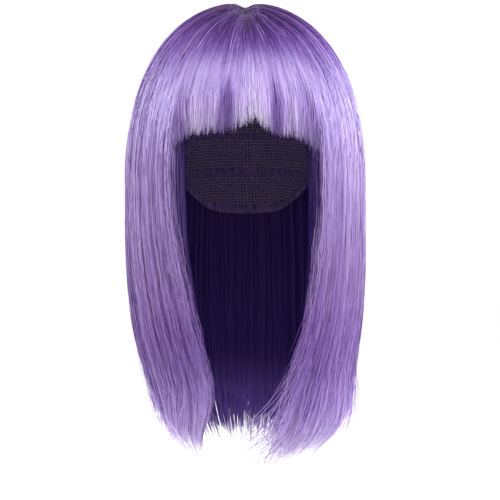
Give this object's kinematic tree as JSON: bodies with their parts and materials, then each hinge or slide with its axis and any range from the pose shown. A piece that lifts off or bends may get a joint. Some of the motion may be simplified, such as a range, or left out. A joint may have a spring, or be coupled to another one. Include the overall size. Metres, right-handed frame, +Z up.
{
  "type": "bob wig",
  "caption": "Straight lilac bob wig with full bangs: locks of hair on a thin open cap, with a patch of false scalp at the parting.",
  "frame": {"origin": "highest point of the inside of the cap's crown, where the wig sits on the top of a head", "axes": "+Z up along the wearer's height, -Y out of the face opening, +X towards the wearer's left"},
  "size_m": [0.2036, 0.215, 0.3889],
  "materials": {
    "lilac_hair": "straight synthetic fibre with a silky sheen, violet at the roots and inside, pale lilac at the tips",
    "cap_net": "matt stretch net with sewn weft rows",
    "false_scalp": "matt coated cloth"
  },
  "bodies": {
    "root": {"wig_cap": "cap_net", "skin_top": "false_scalp", "bangs": "lilac_hair", "left_side_hair": "lilac_hair", "right_side_hair": "lilac_hair", "back_hair": "lilac_hair"}
  },
  "joints": []
}
